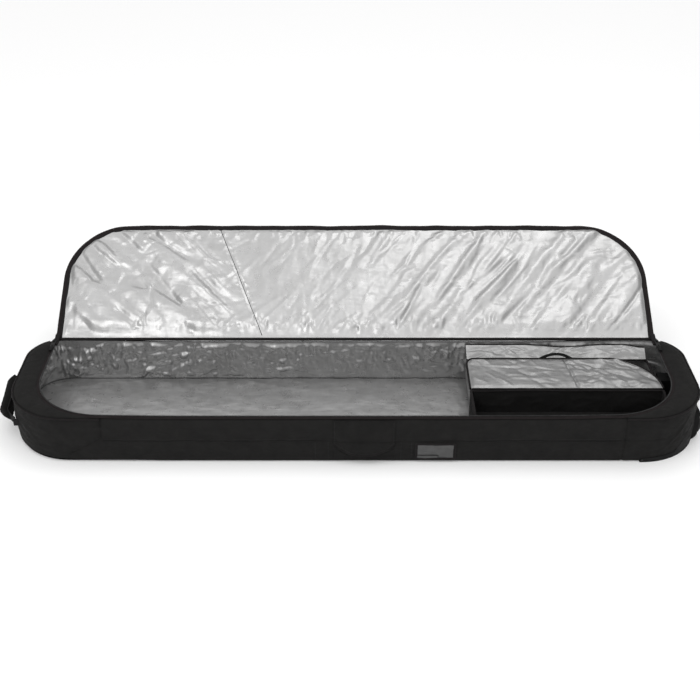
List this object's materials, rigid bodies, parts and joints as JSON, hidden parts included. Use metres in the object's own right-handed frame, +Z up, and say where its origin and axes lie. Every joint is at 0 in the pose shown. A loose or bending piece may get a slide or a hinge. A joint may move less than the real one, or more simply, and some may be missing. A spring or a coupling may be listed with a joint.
{
  "type": "snowboard bag",
  "caption": "Wheeled padded snowboard bag lying flat, its zipped lid folded back to show a silver lining and two organiser bags.",
  "frame": {"origin": "middle of the underside, on the floor", "axes": "+X along the bag from nose to wheeled tail, +Y from the front wall to the hinged rear wall, +Z up"},
  "size_m": [1.7387, 0.6719, 0.3052],
  "materials": {
    "outer_fabric": "matte",
    "silver_lining": "metallised woven tarpaulin, satin",
    "padding": "closed cell foam, matte",
    "binding": "bound edge tape, matte",
    "webbing": "woven webbing, matte",
    "zip_tape": "woven zip tape, matte",
    "zip_teeth": "moulded coil, satin",
    "base_plastic": "moulded, satin",
    "hardware": "black coated metal, satin",
    "bare_steel": "turned",
    "wheel_tyre": "urethane, satin",
    "wheel_hub": "moulded, satin",
    "clear_film": "clear vinyl, glossy"
  },
  "bodies": {
    "bag": {"floor_panel": "outer_fabric", "floor_foam": "padding", "floor_lining": "silver_lining", "nose_panel": "outer_fabric", "tail_panel": "outer_fabric", "front_panel": "outer_fabric", "rear_panel": "outer_fabric", "nose_wall_foam": "padding", "tail_wall_foam": "padding", "front_wall_foam": "padding", "rear_wall_foam": "padding", "wall_lining": "silver_lining", "nose_deck": "outer_fabric", "tail_deck": "outer_fabric", "edge_strips": "outer_fabric", "deck_piping": "binding", "rim_zip_tape": "zip_tape", "rim_zip_teeth": "zip_teeth", "zip_sliders": "hardware", "hinge_binding": "binding", "tail_base_plate": "base_plastic", "tail_base_lip": "base_plastic", "base_rivets": "hardware", "wheel_housings": "base_plastic", "wheel_axles": "bare_steel", "handle_anchors": "webbing", "side_handle": "outer_fabric", "side_patch": "outer_fabric", "card_frame": "binding", "card_film": "clear_film", "boot_bag": "outer_fabric", "clothing_pouch": "silver_lining", "pouch_back_panel": "silver_lining", "boot_lid_binding": "binding", "organiser_tabs": "webbing"},
    "lid": {"lid_lining": "silver_lining", "lid_foam": "padding", "lid_panel": "outer_fabric", "lid_zip_tape": "zip_tape", "lid_zip_teeth": "zip_teeth", "lid_fold_tape": "silver_lining", "lid_piping": "binding"},
    "boot_lid": {"boot_lid": "silver_lining", "boot_lid_handle": "webbing"},
    "nose_handle": {"nose_handle_strap": "webbing", "nose_handle_grip": "outer_fabric"},
    "tail_handle": {"tail_handle_strap": "webbing", "tail_handle_grip": "outer_fabric"},
    "nose_pull": {"nose_pull_tab": "hardware", "nose_pull_grip": "base_plastic"},
    "tail_pull": {"tail_pull_tab": "hardware", "tail_pull_grip": "base_plastic"},
    "front_wheel": {"front_tyre": "wheel_tyre", "front_hub": "wheel_hub", "front_bearings": "bare_steel"},
    "rear_wheel": {"rear_tyre": "wheel_tyre", "rear_hub": "wheel_hub", "rear_bearings": "bare_steel"}
  },
  "joints": [
    {"name": "lid_hinge", "type": "hinge", "parent": "bag", "child": "lid", "pos_m": [0, 0.181, 0.127], "axis": [1, 0, 0], "range_deg": [-45, 149]},
    {"name": "boot_lid_hinge", "type": "hinge", "parent": "bag", "child": "boot_lid", "pos_m": [0.516, -0.022, 0.1055], "axis": [1, 0, 0], "range_deg": [0, 177]},
    {"name": "nose_handle_swing", "type": "hinge", "parent": "bag", "child": "nose_handle", "pos_m": [-0.8375, -0.004, 0.07], "axis": [-0.1063, 0.9943, 0], "range_deg": [0, 45]},
    {"name": "tail_handle_swing", "type": "hinge", "parent": "bag", "child": "tail_handle", "pos_m": [0.849, 0.036, 0.088], "axis": [0, -1, 0], "range_deg": [0, 45]},
    {"name": "nose_pull_swing", "type": "hinge", "parent": "bag", "child": "nose_pull", "pos_m": [-0.784, 0.161, 0.1342], "axis": [-1, 0, 0], "range_deg": [0, 120]},
    {"name": "tail_pull_swing", "type": "hinge", "parent": "bag", "child": "tail_pull", "pos_m": [0.784, 0.161, 0.1342], "axis": [-1, 0, 0], "range_deg": [0, 120]},
    {"name": "front_wheel_spin", "type": "hinge", "parent": "bag", "child": "front_wheel", "pos_m": [0.817, -0.072, 0.038], "axis": [0, 1, 0], "continuous": true},
    {"name": "rear_wheel_spin", "type": "hinge", "parent": "bag", "child": "rear_wheel", "pos_m": [0.817, 0.072, 0.038], "axis": [0, 1, 0], "continuous": true}
  ]
}
